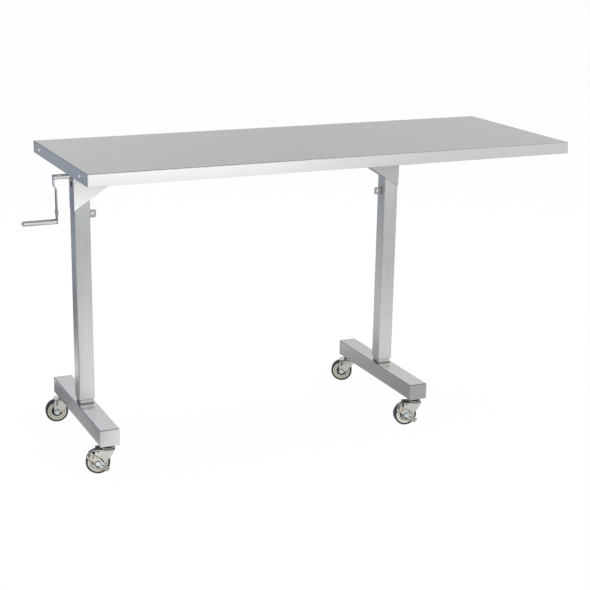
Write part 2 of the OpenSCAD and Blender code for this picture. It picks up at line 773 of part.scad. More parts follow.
// Brake lever: a side plate on the fork's ear, a pedal tab, and a shoe over the tyre
lever_r = 15.5;
chin = [-15.4, 8];
module lever_plate() {
    difference() {
        union() {
            circle(lever_r);
            difference() {
                translate(pivot) circle(13);
                polygon([chin, chin + 30 * [-0.866, 0.5], chin + [-30, -20], chin + [0, -20]]);
            }
            polygon([[-13, 3], [chin[0], chin[1] + 1], [pivot[0] + 2, pivot[1] + 12.8],
                     [slit_from[0] - 2.5, slit_from[1] - 1], [19.5, -1], [23, -8], [15.5, -16.5],
                     [0, -14]]);
            intersection() {
                circle(wheel_r + shoe_gap + shoe_t + 0.4);
                polygon([[0, 0], 60 * [cos(web_from - 2), sin(web_from - 2)],
                         60 * [cos(shoe_to + 2), sin(shoe_to + 2)]]);
            }
        }
        for (a = [0, -lever_swing / 2, -lever_swing]) translate(pivot) rotate(a)
            translate(-pivot) circle(head_af / sqrt(3) + 0.6);
        translate([0, -12.2]) square([10, 2.4], center = true);
        translate([-13.4, -0.5]) square([3, 4.4], center = true);
        translate([pivot[0] - 4, pivot[1] - 4.6]) rotate(-30) square([9, 2.2], center = true);
    }
}

// Pedal tab with two lobes, bent outwards from the end of the lever's arm
pedal_at = [18, -10.5];
pedal_turn = -31;
pedal_bend = 24;
module pedal() {
    translate([pedal_at[0], pedal_at[1], lever_y]) rotate([0, -pedal_bend, pedal_turn])
        linear_extrude(lever_t) {
            translate([-1, -8.5]) square([17, 17]);
            translate([16, 3.5]) circle(5);
            translate([15, -4.5]) circle(4);
            translate([14, 0]) square([4, 8], center = true);
        }
}

module brake(i) color(nickel) at_axle(i) {
    translate([0, 0, lever_y]) linear_extrude(lever_t) lever_plate();
    pedal();
    shoe_r = wheel_r + shoe_gap;
    shoe_z = 2 - wheel_w / 2;
    difference() {
        rotate([0, 0, shoe_from]) translate([0, 0, shoe_z]) rotate_extrude(angle = shoe_to - shoe_from)
            translate([shoe_r, 0]) square([shoe_t, lever_y + lever_t / 2 - shoe_z]);
        translate([0, 0, wheel_w / 2]) linear_extrude(20)
            polygon([[0, 0], 60 * [cos(shoe_from - 9), sin(shoe_from - 9)],
                     60 * [cos(web_from), sin(web_from)]]);
    }
    translate([pivot[0], pivot[1], fork_half - 0.5])
        cylinder(h = lever_y + lever_t / 2 - fork_half + 0.5, r = pivot_r);
    translate([pivot[0], pivot[1], lever_y + lever_t - eps]) cylinder(h = 1.6, r1 = 4.5, r2 = 3);
}

top_sheet();
long_channels();
cross_bearers();
head_plates();
head_bolts();
end_screws();
left_sleeve();
right_sleeve();
left_gusset();
right_gusset();
column_lugs();
bearing_blocks();
thrust_bearings();
shaft_bushes();
sleeve_liners();
crank_shaft();
shaft_coupling();
cross_shaft();
left_drive_gear();
right_drive_gear();
crank_arm();
arm_collar();
grip_pin();
crank_grip();
left_lead_screw();
left_screw_gear();
right_lead_screw();
right_screw_gear();
left_foot();
left_foot_caps();
left_post();
left_lift_nut();
left_post_glides();
left_stems();
right_foot();
right_foot_caps();
right_post();
right_lift_nut();
right_post_glides();
right_stems();
fork(0, true);  // front_left_fork
axle(0);  // front_left_axle
wheel(0);  // front_left_wheel
tyre(0);  // front_left_tyre
fork(1, false);  // rear_left_fork
axle(1);  // rear_left_axle
wheel(1);  // rear_left_wheel
tyre(1);  // rear_left_tyre
fork(2, true);  // front_right_fork
axle(2);  // front_right_axle
wheel(2);  // front_right_wheel
tyre(2);  // front_right_tyre
fork(3, false);  // rear_right_fork
axle(3);  // rear_right_axle
wheel(3);  // rear_right_wheel
tyre(3);  // rear_right_tyre
brake(0);  // front_left_brake
brake(2);  // front_right_brake
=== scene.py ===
# %% [markdown]
# # A crank-height instrument table
#
# The real object is a long stainless top on two telescoping square columns. A crank under the
# left end turns a shaft that drives a screw in each column, and each foot stands on two casters.
# The shapes come from the imported model, so this lesson is mostly about light, metal and the
# small things that a maker adds last: welds, crossed screws, corner laps and bosses. Near-black
# fillers in holes and slots are painted shade.

# %% Load the fixed frame
import json
import math

import bmesh
import bpy
from mathutils import Matrix, Vector


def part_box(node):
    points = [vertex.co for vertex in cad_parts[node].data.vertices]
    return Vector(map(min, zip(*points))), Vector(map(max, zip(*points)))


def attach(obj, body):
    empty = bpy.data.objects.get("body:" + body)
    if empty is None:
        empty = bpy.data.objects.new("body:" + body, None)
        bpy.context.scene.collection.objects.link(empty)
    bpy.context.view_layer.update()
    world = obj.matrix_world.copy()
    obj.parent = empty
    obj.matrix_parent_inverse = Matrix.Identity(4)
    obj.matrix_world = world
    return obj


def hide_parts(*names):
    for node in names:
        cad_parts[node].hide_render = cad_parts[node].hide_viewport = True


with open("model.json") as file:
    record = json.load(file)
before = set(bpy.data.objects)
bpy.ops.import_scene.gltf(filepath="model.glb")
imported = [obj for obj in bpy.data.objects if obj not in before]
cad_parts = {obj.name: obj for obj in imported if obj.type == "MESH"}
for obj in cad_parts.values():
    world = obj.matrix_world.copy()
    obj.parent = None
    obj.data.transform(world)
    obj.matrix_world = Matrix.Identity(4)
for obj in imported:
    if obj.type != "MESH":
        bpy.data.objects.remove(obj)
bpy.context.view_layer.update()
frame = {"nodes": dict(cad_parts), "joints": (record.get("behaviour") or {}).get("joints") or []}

mm = 0.001  # all lengths are in metres
nodes = frame["nodes"]
joints = {joint["name"]: joint for joint in frame["joints"]}


def box_corners(name):
    """The low and the high corner of a node's box."""
    return [Vector(corner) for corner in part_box(name)]


# %% [markdown]
# ## The camera
#
# The camera could be placed by eye, but straight edges give it away: the long sides of the top,
# the columns and the feet meet in vanishing points, and those fix the place, the angles and the
# lens. A long lens from four metres keeps the columns nearly parallel. The small roll is real,
# because the columns lean a little in the picture.

# %% Camera
image_px = 590
focal_px = 1357.57
sensor_mm = 36.0
camera_place = Vector((-1.86358, -4.03379, 1.72237))
yaw = math.radians(25.161)
pitch = math.radians(16.15)
roll = math.radians(1.062)

ahead = Vector((math.sin(yaw) * math.cos(pitch), math.cos(yaw) * math.cos(pitch), -math.sin(pitch)))
sideways = Vector((math.cos(yaw), -math.sin(yaw), 0.0))
upward = sideways.cross(ahead)
camera_right = math.cos(roll) * sideways + math.sin(roll) * upward
camera_up = math.cos(roll) * upward - math.sin(roll) * sideways

lens = bpy.data.cameras.new("photo_lens")
lens.sensor_fit = "HORIZONTAL"
lens.sensor_width = sensor_mm
lens.lens = focal_px * sensor_mm / image_px
lens.clip_end = 200.0
camera = bpy.data.objects.new("photo_camera", lens)
camera.matrix_world = Matrix.Translation(camera_place) @ Matrix(
    (camera_right, camera_up, -ahead)).transposed().to_4x4()
bpy.context.collection.objects.link(camera)
scene = bpy.context.scene
scene.camera = camera
scene.view_settings.view_transform = "Standard"
print("lens", round(lens.lens, 2), "mm")

# %% [markdown]
# ## Shader maths as Python
#
# A material could be wired by hand, node by node, but a page of links hides what it does. Here
# one small class stands for a socket and answers to plus, minus, times and divide, so a mask is
# written as it is thought. Colours and vectors go through their own nodes, because a Math node
# would turn them grey.

# %% The socket class
class Wire:
    """An output socket that takes part in Python expressions."""

    def __init__(self, recipe, socket):
        self.recipe = recipe
        self.socket = socket

    def maths(self, operation, *values):
        """A Math node with this socket first and the values after it."""
        inputs = {number: value for number, value in enumerate((self,) + values)}
        return self.recipe.node("ShaderNodeMath", {"operation": operation}, inputs)

    def __add__(self, other):
        return self.maths("ADD", other)

    def __radd__(self, other):
        return self.maths("ADD", other)

    def __sub__(self, other):
        return self.maths("SUBTRACT", other)

    def __rsub__(self, other):
        return self.maths("MULTIPLY_ADD", -1.0, other)

    def __mul__(self, other):
        return self.maths("MULTIPLY", other)

    def __rmul__(self, other):
        return self.maths("MULTIPLY", other)

    def __truediv__(self, other):
        return self.maths("DIVIDE", other)

    def __abs__(self):
        return self.maths("ABSOLUTE")

    def above(self, edge, soft):
        """0 below the edge, 1 above it, with a soft step between."""
        return self.recipe.node("ShaderNodeMapRange", {"interpolation_type": "SMOOTHSTEP"},
                                {"Value": self, "From Min": edge - soft, "From Max": edge + soft})

    def clamped(self):
        """The same number, held between 0 and 1."""
        return self.recipe.node("ShaderNodeClamp", {}, {"Value": self})


# %% The recipe class
# The numbers of the colour sockets on a Mix node
mix_share = 0
mix_first = 6
mix_second = 7
mix_result = 2
# A colour stops at 1, so a ramp stores each level as a share of this one
ramp_top = 2.5


class Recipe:
    """A material under construction: one shader and the nodes that feed it."""

    def __init__(self, name, world=None):
        self.data = world or bpy.data.materials.new(name)
        self.data.use_nodes = True
        self.tree = self.data.node_tree
        self.tree.nodes.clear()

    def node(self, kind, settings=None, inputs=None, output=0):
        """Adds a node, sets it, feeds its inputs and hands back one of its outputs."""
        made = self.tree.nodes.new(kind)
        for key, value in (settings or {}).items():
            if key == "stops":
                self.set_stops(made.color_ramp, value)
            else:
                setattr(made, key, value)
        for key, value in (inputs or {}).items():
            self.feed(made.inputs[key], value)
        return Wire(self, made.outputs[output])

    def set_stops(self, ramp, stops):
        while len(ramp.elements) < len(stops):
            ramp.elements.new(0.5)
        for element, (place, colour) in zip(ramp.elements, stops):
            element.position = place
            element.color = tuple(colour) + (1.0,)

    def feed(self, socket, value):
        if isinstance(value, Wire):
            self.tree.links.new(value.socket, socket)
        elif isinstance(value, (tuple, list)) and len(value) == 3 and socket.type == "RGBA":
            socket.default_value = tuple(value) + (1.0,)
        else:
            socket.default_value = value

    def place(self, stretch=(1.0, 1.0, 1.0)):
        """The piece's own coordinates in metres, times a stretch."""
        where = self.node("ShaderNodeTexCoord", output="Object")
        if tuple(stretch) == (1.0, 1.0, 1.0):
            return where
        return self.node("ShaderNodeVectorMath", {"operation": "MULTIPLY"}, {0: where, 1: stretch})

    def noise(self, scale, detail=2.0, stretch=(1.0, 1.0, 1.0), rough=0.5):
        """Noise from 0 to 1, with scale in cells per metre."""
        return self.node("ShaderNodeTexNoise", {"noise_dimensions": "3D"},
                         {"Vector": self.place(stretch), "Scale": scale, "Detail": detail,
                          "Roughness": rough})

    def mix(self, share, first, second):
        """Colour mix: first where share is 0, second where it is 1."""
        made = self.tree.nodes.new("ShaderNodeMix")
        made.data_type = "RGBA"
        self.feed(made.inputs[mix_share], share)
        self.feed(made.inputs[mix_first], first)
        self.feed(made.inputs[mix_second], second)
        return Wire(self, made.outputs[mix_result])

    def bump(self, height, depth_mm, strength, edge_mm):
        """Small relief over normals that run round the sharp edges, as on real sheet."""
        edge = self.node("ShaderNodeBevel", {"samples": 4}, {"Radius": edge_mm / 1000})
        return self.node("ShaderNodeBump", {}, {"Height": height, "Distance": depth_mm / 1000,
                                                "Strength": strength, "Normal": edge})

    def crevice(self, reach_mm):
        """0 in the open, rising towards 1 where another surface is close."""
        open_share = self.node("ShaderNodeAmbientOcclusion", {"samples": 6},
                               {"Distance": reach_mm / 1000}, output="AO")
        return (1.0 - open_share).above(edge=0.32, soft=0.24)

    def ramp(self, number, low, high, stops):
        """Grey levels along a number, smooth between the stops."""
        share = self.node("ShaderNodeMapRange", {}, {"Value": number, "From Min": low, "From Max": high})
        greys = [((place - low) / (high - low), (level / ramp_top,) * 3) for place, level in stops]
        return self.node("ShaderNodeValToRGB", {"stops": greys}, {"Fac": share}) * ramp_top

    def split(self, vector):
        """The three numbers of a vector."""
        first = self.node("ShaderNodeSeparateXYZ", {}, {"Vector": vector})
        return [Wire(self, output) for output in first.socket.node.outputs]

    def height(self):
        """The height of the point on the piece, in metres."""
        return self.split(self.place())[2]

    def rays(self, kind):
        """1 for rays of this kind, 0 for all others."""
        return self.node("ShaderNodeLightPath", output=kind)

    def close(self, kind, end):
        """Joins the last shader to the material's or the world's output."""
        output = self.tree.nodes.new(kind)
        self.tree.links.new(end.socket, output.inputs["Surface"])
        return self.data


def surface(recipe, **sockets):
    """Closes a material with a Principled shader. Underscores stand for spaces."""
    inputs = {key.replace("_", " "): value for key, value in sockets.items()}
    shader = recipe.node("ShaderNodeBsdfPrincipled", {}, inputs)
    return recipe.close("ShaderNodeOutputMaterial", shader)


def wear(*node_names, material):
    """Puts a material on every slot of the named CAD nodes."""
    for name in node_names:
        mesh = nodes[name].data
        if not mesh.materials:
            mesh.materials.append(material)
        for slot in range(len(mesh.materials)):
            mesh.materials[slot] = material


# %% [markdown]
# ## Floor, backdrop and light
#
# The photograph stands the table on pure white. More light would bleach the metal, so the white
# comes from the floor's and the world's own answer to camera rays. Metal is only as good as what
# it mirrors. From this side the top mirrors the low back wall, the front faces mirror the floor in
# front, and the left faces mirror the floor behind on the left. So each of these places gets its
# own level. The dark ceiling draws the thin dark line along the bends, and a darker patch in it
# does the same for the crank.

# %% Floor
half_floor = 40.0
floor_mesh = bpy.data.meshes.new("floor")
floor_mesh.from_pydata([(-half_floor, -half_floor, 0), (half_floor, -half_floor, 0),
                        (half_floor, half_floor, 0), (-half_floor, half_floor, 0)], [], [(0, 1, 2, 3)])
floor = bpy.data.objects.new("floor", floor_mesh)
bpy.context.collection.objects.link(floor)

# Levels along the floor from front to back, for what mirrors it near the left and the right leg
left_card = [(-5.6, 2.40), (-4.7, 2.34), (-4.35, 0.92), (-3.9, 0.10), (-3.2, 0.20), (-2.2, 0.48),
             (-1.6, 0.84), (-0.9, 1.05), (-0.5, 1.05), (-0.15, 0.60), (0.05, 0.27), (0.35, 0.37),
             (0.47, 0.25), (0.60, 0.26), (0.70, 0.95), (0.86, 0.64), (1.2, 0.28), (1.65, 0.23),
             (2.4, 0.34), (3.1, 0.40), (3.7, 0.03), (3.98, 0.08), (4.1, 0.58), (5.6, 0.56)]
right_card = [(-5.6, 1.06), (-4.5, 1.04), (-3.9, 0.52), (-2.2, 0.54), (-1.6, 0.62), (-0.9, 0.82),
              (-0.5, 0.94), (-0.2, 0.40), (0.0, 0.28), (0.5, 0.40), (0.8, 0.66), (1.65, 0.61),
              (3.1, 0.44), (3.9, 0.27), (5.6, 0.36)]
card_reach = 5.6
# The bluish part behind, which the left apron mirrors
left_tint = (0.82, 0.985, 1.26)
tint_from = 1.9
# The floor in front and left of the table, which the grip mirrors
far_left_level = 0.62
far_left_x = -1.08
# The floor between the wheels, under the left and the right foot
under_level = 0.64
under_widths = (0.085, 0.12)
under_depth = 0.1
under_reach = 0.2
leg_shift = 0.01
leg_places = [sum(corner.x for corner in box_corners(side + "_foot")) / 2 - leg_shift
              for side in ("left", "right")]
# The dark place in front that the crank arm mirrors
crank_level = 0.12
crank_x = -0.805
crank_depth = -0.85
crank_reach = 0.32
paper = Recipe("paper_floor")
side, depth, height = paper.split(paper.place())
left_level = paper.ramp(depth, -card_reach, card_reach, left_card)
right_level = paper.ramp(depth, -card_reach, card_reach, right_card)

# A front face at x sees the floor on the line from the mirrored camera through x
eye_x = camera_place.x
eye_y = camera_place.y
front_x = (side - eye_x) / (1.0 + depth / eye_y) + eye_x
behind = depth.above(0.0, 0.2)
right_front = front_x.above(-0.03, 0.24)
sight_slope = 0.41
right_behind = (side + depth * sight_slope).above(-0.2, 0.3)
right_share = behind * (right_behind - right_front) + right_front
level = right_share * (right_level - left_level) + left_level
corner_glow = (1.0 - front_x.above(far_left_x, 0.1)) * (1.0 - depth.above(-0.25, 0.15))
level = corner_glow * (far_left_level - level) + level
for leg_place, half_width in zip(leg_places, under_widths):
    across = 1.0 - abs(side - leg_place).above(half_width, 0.03)
    under = across * (1.0 - abs(depth - under_depth).above(under_reach, 0.08))
    level = under * (under_level - level) + level
crank_dark = 1.0 - front_x.above(crank_x, 0.02)
crank_dark = crank_dark * (1.0 - abs(depth - crank_depth).above(crank_reach, 0.12))
level = crank_dark * (crank_level - level) + level
tint_share = depth.above(tint_from, 1.0) * (1.0 - right_behind)
tint = paper.mix(tint_share, (1.0, 1.0, 1.0), left_tint)
mirrored = paper.node("ShaderNodeVectorMath", {"operation": "SCALE"}, {0: tint, "Scale": level})
paper_grey = (0.86, 0.86, 0.86)
matt = paper.node("ShaderNodeBsdfDiffuse", {}, {"Color": paper_grey})
white = paper.node("ShaderNodeEmission", {}, {"Color": (1.0, 1.0, 1.0), "Strength": 1.0})
toned = paper.node("ShaderNodeEmission", {}, {"Color": mirrored, "Strength": 1.0})
white_share = 0.96
seen = paper.node("ShaderNodeMixShader", {},
                  {0: paper.rays("Is Camera Ray") * white_share, 1: matt, 2: white})
paper_shader = paper.node("ShaderNodeMixShader", {}, {0: paper.rays("Is Glossy Ray"), 1: seen, 2: toned})
paper.close("ShaderNodeOutputMaterial", paper_shader)
floor_mesh.materials.append(paper.data)

# %% World
world = bpy.data.worlds.new("studio")
scene.world = world
air = Recipe("studio", world=world)
sky_x, sky_y, sky_z = air.split(air.node("ShaderNodeTexCoord", output="Generated"))
# Levels from the horizon to straight above, behind and in front of the table
back_card = [(0.0, 0.80), (0.13, 0.80), (0.155, 0.73), (0.175, 0.48), (0.2, 0.35), (0.23, 0.46),
             (0.30, 0.56), (0.34, 0.50), (0.38, 0.84), (0.5, 0.66), (0.58, 0.14), (0.76, 0.12),
             (0.88, 0.36), (1.0, 0.44)]
front_card = [(0.0, 0.36), (0.2, 0.42), (0.3, 1.15), (0.6, 1.15), (0.72, 0.12), (0.85, 0.14),
              (0.95, 0.40), (1.0, 0.44)]
back_left_colour = (0.18, 0.20, 0.28)
ambient_level = 0.72
# The back wall is darkest at this place along it, and has a glow to the right
darkest_along = 0.46
glow_along = 0.44
glow_low = 0.285
glow_high = 0.335
# The patch of ceiling that the crank mirrors
patch_level = 0.03
patch_low = 0.58
patch_high = 0.83
patch_x = 0.24
patch_half = 0.10
facing_front = (0.0 - sky_y).above(0.1, 0.3)
facing_left = (0.0 - sky_x).above(-0.06, 0.08) * (1.0 - facing_front)
along = sky_x / (abs(sky_y) + 0.1)
from_darkest = along - darkest_along
uneven = abs(from_darkest) * 0.28 - from_darkest * 0.12 - 0.008
right_glow = along.above(glow_along, 0.03) * sky_z.above(glow_low, 0.015)
right_glow = right_glow * (0.24 - sky_z.above(glow_high, 0.01) * 0.18)
back_wall = air.ramp(sky_z, 0.0, 1.0, back_card) + uneven + right_glow
front_wall = air.ramp(sky_z, 0.0, 1.0, front_card)
wall = facing_front * (front_wall - back_wall) + back_wall
ceiling_patch = sky_z.above(patch_low, 0.08) * (1.0 - sky_z.above(patch_high, 0.03))
ceiling_patch = ceiling_patch * (1.0 - abs(sky_x - patch_x).above(patch_half, 0.03))
wall = ceiling_patch * (patch_level - wall) + wall
lit = air.rays("Is Glossy Ray") * (wall - ambient_level) + ambient_level
strength = lit + air.rays("Is Camera Ray") * (1.0 - lit)
grey_wall = air.node("ShaderNodeCombineXYZ", {}, {"X": strength, "Y": strength, "Z": strength})
dark_share = facing_left * air.rays("Is Glossy Ray")
glow = air.node("ShaderNodeBackground", {}, {"Color": air.mix(dark_share, grey_wall, back_left_colour),
                                             "Strength": 1.0})
air.close("ShaderNodeOutputWorld", glow)


# %% Lamps
def soft_lamp(name, place, aim, size, watts, tint=(1.0, 1.0, 1.0)):
    """A square lamp that lights the table but isn't mirrored in it."""
    data = bpy.data.lights.new(name, "AREA")
    data.shape = "SQUARE"
    data.size = size
    data.energy = watts
    data.color = tint
    lamp = bpy.data.objects.new(name, data)
    lamp.location = place
    lamp.rotation_euler = (Vector(aim) - Vector(place)).to_track_quat("-Z", "Y").to_euler()
    lamp.visible_glossy = False
    bpy.context.collection.objects.link(lamp)


middle = (0.0, 0.0, 0.6)
soft_lamp("front_lamp", (1.2, -4.2, 2.6), middle, 2.4, 150.0)
soft_lamp("top_lamp", (0.4, 0.6, 4.2), middle, 3.0, 90.0)
soft_lamp("left_lamp", (-4.2, 0.6, 1.6), middle, 2.0, 20.0, (0.86, 0.93, 1.0))
print("stage ready")

# %% [markdown]
# ## Satin stainless
#
# Sheet and tube are sanded along their length, so the grain is a noise squeezed hard along one
# axis. It feeds roughness and a very shallow bump. A slow cloud of a few per cent in the colour
# keeps a large sheet from looking like plastic. The same recipe is made once for each direction
# of grain. Flat paint would be quicker, but it can't stretch the reflections along the grain.

# %% Satin stainless
grain_axes = {"x": (0.02, 1.0, 1.0), "y": (1.0, 0.02, 1.0), "z": (1.0, 1.0, 0.02)}
# Cells per metre of the three noises
grain_cells = 2600.0
streak_cells = 230.0
patch_cells = 3.2
seam_colour = (0.14, 0.11, 0.10)
shade_colour = (0.04, 0.14, 0.17)
# Painted shade for crevices, mixed in by the crevice mask
crevice_shade_colour = (0.16, 0.14, 0.13)


def satin(name, axis, colour, rough=0.34, streak_share=0.3, edge_mm=0.8, patch_share=0.35, seam_z=None,
          metallic=1.0, shade_z=None):
    """Sanded sheet. Above seam_z it has a dark seam, above shade_z painted shade makes it a little darker,
    and crevices get painted shade.
    """
    recipe = Recipe(name)
    grain = recipe.noise(grain_cells, 3.0, grain_axes[axis], 0.6)
    streak = recipe.noise(streak_cells, 3.0, grain_axes[axis], 0.6)
    patch = recipe.noise(patch_cells, 3.0)
    tone = (patch - 0.5) * patch_share + (streak - 0.5) * streak_share * 2.0 + (grain - 0.5) * 0.2
    pale = tuple(min(1.0, part * 1.15) for part in colour)
    dull = tuple(part * 0.85 for part in colour)
    steel = recipe.mix((tone + 0.5).clamped(), dull, pale)
    if seam_z:
        steel = recipe.mix(recipe.height().above(seam_z, 0.4 * mm) * 0.8, steel, seam_colour)
    # Painted shade: darker towards the top of the column, where the table top shades it
    if shade_z:
        steel = recipe.mix(recipe.height().above(shade_z, 70 * mm) * 0.15, steel, shade_colour)
    # Crevices and gaps get painted shade: a darker colour mixed in by the crevice mask
    return surface(recipe,
                   Base_Color=recipe.mix(recipe.crevice(6.0) * 0.55, steel, crevice_shade_colour),
                   Metallic=metallic,
                   Roughness=rough + (grain - 0.5) * 0.12 + (patch - 0.5) * 0.06,
                   Normal=recipe.bump(grain, 0.02, 0.35, edge_mm))


steel_tone = (0.72, 0.722, 0.727)
top_steel = satin("satin_top", "x", steel_tone, rough=0.25, streak_share=0.06, patch_share=0.12)
foot_top = box_corners("left_foot")[1].z
seam_z = foot_top - 1.8 * mm
column_steel = satin("satin_column", "z", (0.725, 0.721, 0.71), rough=0.26, streak_share=0.4)
# The left column's copy has painted shade near its top
left_column_steel = satin("satin_left_column", "z", steel_tone, rough=0.26, streak_share=0.4,
                          shade_z=0.70)
screw_steel = satin("screw_steel", "x", (0.97, 0.97, 0.96), rough=0.3, streak_share=0.0, patch_share=0.0,
                    edge_mm=0.2, metallic=0.35)
lug_steel = satin("satin_lug", "z", (0.52, 0.53, 0.53), rough=0.3, streak_share=0.05, patch_share=0.05)
left_foot_steel = satin("satin_left_foot", "y", (0.745, 0.762, 0.778), rough=0.2, streak_share=0.15,
                        edge_mm=3.0)
right_foot_steel = satin("satin_right_foot", "y", (0.765, 0.757, 0.742), rough=0.2, streak_share=0.15,
                         edge_mm=3.0)
cap_steel = satin("satin_cap", "x", (0.76, 0.77, 0.775), rough=0.3, streak_share=0.1, edge_mm=1.2,
                  seam_z=seam_z)
# The right caps are the same steel made darker, as painted shade
shaded_cap_steel = satin("painted_shade_cap", "x", (0.45, 0.455, 0.455), rough=0.4, streak_share=0.1, edge_mm=1.2,
                       seam_z=seam_z)
channel_steel = satin("formed_channel", "x", (0.55, 0.55, 0.55), rough=0.36)
bearer_steel = satin("formed_bearer", "y", (0.55, 0.55, 0.55), rough=0.36)
# A lit and a shaded copy of the gusset steel: the left gusset is paler as painted light, the right gusset
# and the head plates are darker as painted shade
lit_head_steel = satin("painted_light_head", "x", (0.97, 0.975, 0.97), rough=0.5, streak_share=0.05, patch_share=0.1,
                   metallic=0.1)
shaded_head_steel = satin("painted_shade_head", "x", (0.61, 0.615, 0.61), rough=0.5, streak_share=0.1, metallic=0.7)
wear("top_sheet", material=top_steel)
wear("left_sleeve", material=left_column_steel)
wear("right_sleeve", material=column_steel)
wear("left_foot", material=left_foot_steel)
wear("right_foot", material=right_foot_steel)
wear("left_foot_caps", material=cap_steel)
wear("right_foot_caps", material=shaded_cap_steel)
wear("column_lugs", material=lug_steel)
wear("long_channels", material=channel_steel)
wear("cross_bearers", material=bearer_steel)
wear("left_gusset", material=lit_head_steel)
wear("right_gusset", "head_plates", material=shaded_head_steel)

# %% [markdown]
# ## Bright metals
#
# The crank, the posts and the shafts are turned and polished, the casters are plated stampings.
# Plating is never quite even, so it gets a slow change of roughness and faint darker stains. The
# weld's heat marks on the posts, and the painted shade and painted reflection on the races, change
# with height alone, so they are bands along Z, which is simpler than a painted map and stays right
# when the caster swivels. Crevices, and the upward faces of the front forks under the feet, get
# painted shade too.

# %% Bright metals
fine_cells = 900.0
slow_cells = 38.0
# Dark colour of the height bands: painted shade and painted reflection on the races, the weld's heat marks
# on the posts
band_colour = (0.06, 0.045, 0.035)
under_foot_shade_colour = (0.075, 0.05, 0.035)
gap_shade_colour = (0.07, 0.05, 0.035)


def bright(name, colour, rough, stain=(0.30, 0.27, 0.22), stain_share=0.1, relief=0.25,
           edge_mm=0.5, reach_mm=4.0, bands=None, dark_below=None):
    """Polished or plated steel. Faces that look up get painted shade below the height dark_below, and
    crevices get painted shade.
    """
    recipe = Recipe(name)
    fine = recipe.noise(fine_cells, 2.0)
    slow = recipe.noise(slow_cells, 4.0)
    plain = recipe.mix(slow.above(0.66, 0.14) * stain_share, colour, stain)
    if bands:
        shade = recipe.ramp(recipe.height(), bands[0][0], bands[-1][0], bands)
        plain = recipe.mix((1.0 - shade).clamped(), plain, band_colour)
    if dark_below:
        facing = recipe.node("ShaderNodeTexCoord", output="Normal")
        upward = recipe.split(facing)[2].above(0.8, 0.1)
        low = 1.0 - recipe.height().above(dark_below, 0.5 * mm)
        plain = recipe.mix(upward * low, plain, under_foot_shade_colour)
    # Crevices and gaps get painted shade, mixed in by the crevice mask
    return surface(recipe,
                   Base_Color=recipe.mix(recipe.crevice(reach_mm) * 0.85, plain, gap_shade_colour),
                   Metallic=1.0,
                   Roughness=rough + (slow - 0.5) * 0.1 + (fine - 0.5) * 0.04,
                   Normal=recipe.bump(slow, 0.05, relief, edge_mm))


# Painted shade and painted reflection along the height of a caster, as a share of light: dark lines on both
# sides of the bright race
race_bands = [(0.0, 1.0), (0.0765, 1.0), (0.0778, 0.35), (0.0786, 0.9), (0.0805, 1.0), (0.0815, 0.25),
              (0.0845, 0.2), (0.0856, 1.0), (0.0888, 1.0), (0.0898, 0.2), (0.0960, 0.15)]
# The rear forks show a broader bright crown, a painted reflection
crown_bands = [(0.0, 1.0), (0.0765, 1.0), (0.0785, 0.3), (0.0805, 0.35), (0.0820, 1.0), (0.0848, 0.9),
               (0.0860, 0.2), (0.0905, 0.12), (0.0920, 0.75), (0.0940, 0.25), (0.0960, 0.15)]
crown_top = 0.083
polished = bright("polished_steel", (0.74, 0.735, 0.73), 0.14, stain_share=0.0, relief=0.0, edge_mm=0.3)
# Heights in millimetres above the foot, for the heat marks of the weld on the posts
heat_marks = [(0.0, 0.2), (2.2, 0.4), (3.4, 0.95), (11.0, 1.0), (13.0, 0.75), (15.0, 1.0), (500.0, 1.0)]
heat_bands = [(foot_top + rise * mm, share) for rise, share in heat_marks]
post_steel = bright("post_steel", (0.70, 0.69, 0.66), 0.26, stain_share=0.05, relief=0.05, reach_mm=9.0,
                    bands=heat_bands)
plated = bright("plated_caster", (0.76, 0.745, 0.70), 0.16, stain_share=0.2, relief=0.12,
                reach_mm=7.0, bands=race_bands)
rear_plated = bright("plated_rear", (0.78, 0.765, 0.72), 0.16, stain_share=0.2, relief=0.12,
                     reach_mm=7.0, bands=crown_bands)
# The front forks' upward faces below the crown top get painted shade, a dark reflection of the shaded foot
# above
front_plated = bright("plated_front", (0.665, 0.655, 0.62), 0.14, stain_share=0.2, relief=0.12,
                      reach_mm=7.0, bands=race_bands, dark_below=crown_top)
arm_steel = bright("arm_steel", (0.50, 0.53, 0.60), 0.16, stain_share=0.0, relief=0.0, edge_mm=0.4)
grip_steel = bright("turned_grip", (0.80, 0.79, 0.775), 0.18, stain_share=0.0, relief=0.0, edge_mm=0.4)
zinc = bright("zinc_blue", (0.80, 0.90, 0.96), 0.24, stain=(0.55, 0.52, 0.40), stain_share=0.15)
cam_brass = bright("cam_brass", (0.70, 0.61, 0.46), 0.2, stain=(0.25, 0.16, 0.08), stain_share=0.4)
# Dark oxide for the screw washers, and for the painted shadow under the cam bosses
oxide_and_shadow = bright("dark_oxide_and_shadow", (0.075, 0.055, 0.04), 0.35, stain=(0.20, 0.13, 0.08), stain_share=0.6)
machined = bright("machined_steel", (0.34, 0.35, 0.37), 0.38, stain_share=0.3)
bronze = bright("bearing_bronze", (0.56, 0.38, 0.16), 0.36, stain=(0.20, 0.12, 0.05), stain_share=0.5)
wear("crank_shaft", "arm_collar", "grip_pin", "end_screws", "thrust_bearings", "shaft_bushes",
     material=polished)
wear("crank_arm", material=arm_steel)
wear("crank_grip", material=grip_steel)
wear("left_post", "right_post", material=post_steel)
wear("cross_shaft", "shaft_coupling", "left_drive_gear", "right_drive_gear", "left_lead_screw",
     "right_lead_screw", "bearing_blocks", material=machined)
wear("left_screw_gear", "right_screw_gear", "left_lift_nut", "right_lift_nut", material=bronze)
wear("left_stems", "right_stems", material=plated)
wear("head_bolts", material=zinc)
corners = ("front_left", "rear_left", "front_right", "rear_right")
wear("rear_left_fork", "rear_right_fork", material=rear_plated)
wear("front_left_fork", "front_right_fork", material=front_plated)
wear(*[corner + "_axle" for corner in corners], material=zinc)
